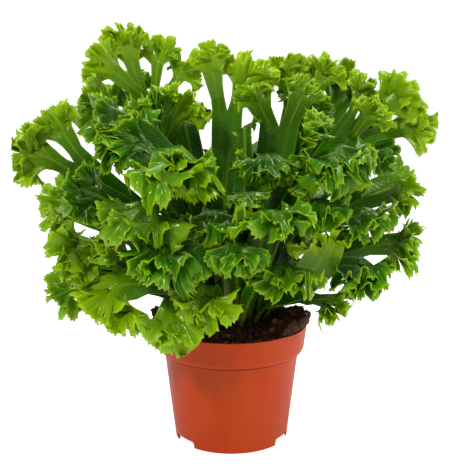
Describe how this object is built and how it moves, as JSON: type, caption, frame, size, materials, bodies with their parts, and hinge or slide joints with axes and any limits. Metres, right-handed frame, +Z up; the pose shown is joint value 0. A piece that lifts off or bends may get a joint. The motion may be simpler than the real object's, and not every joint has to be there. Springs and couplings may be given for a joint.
{
  "type": "potted bird's nest fern",
  "caption": "Potted bird's nest fern: a rosette of strap-shaped fronds that fork into ruffled, lobed crests, growing in dark soil in a round tapered nursery pot.",
  "frame": {"origin": "centre of the pot's foot ring, on the plane that the pot stands on", "axes": "+Z up along the pot's axis; -Y is the front, where the picture looks from; +X is the viewer's right"},
  "size_m": [0.3219, 0.2201, 0.327],
  "materials": {
    "pot_plastic": "satin",
    "peat": "matte",
    "frond": "satin"
  },
  "bodies": {
    "root": {"pot": "pot_plastic", "soil": "peat", "frond_top_left": "frond", "frond_top_centre": "frond", "frond_centre_strap": "frond", "frond_centre_right": "frond", "frond_right_top": "frond", "frond_top_right": "frond", "frond_right_big": "frond", "frond_right_dark": "frond", "frond_back_top": "frond", "frond_left_upper": "frond", "frond_left_dark": "frond", "frond_left_long": "frond", "frond_left_fork": "frond", "frond_left_mid": "frond", "frond_left_mid_low": "frond", "frond_left_low": "frond", "frond_left_lowest": "frond", "frond_front_high_left": "frond", "frond_front_left": "frond", "frond_front_curly": "frond", "frond_front_small": "frond", "frond_over_rim": "frond", "frond_front_centre": "frond", "frond_centre_small": "frond", "frond_front_fold": "frond", "frond_right_front_upper": "frond", "frond_centre_right_low": "frond", "frond_right_low": "frond", "frond_right_low_front": "frond", "frond_right_pale": "frond", "frond_right_lowest": "frond", "frond_front_right_low": "frond", "frond_right_mid": "frond", "frond_right_inner": "frond", "frond_front_right": "frond", "frond_front_low_centre": "frond", "frond_back_left": "frond", "frond_rear_1": "frond", "frond_rear_2": "frond", "frond_rear_3": "frond", "frond_rear_4": "frond", "frond_rear_5": "frond", "frond_rear_6": "frond", "frond_rear_7": "frond", "frond_rear_8": "frond", "frond_rear_9": "frond"}
  },
  "joints": []
}
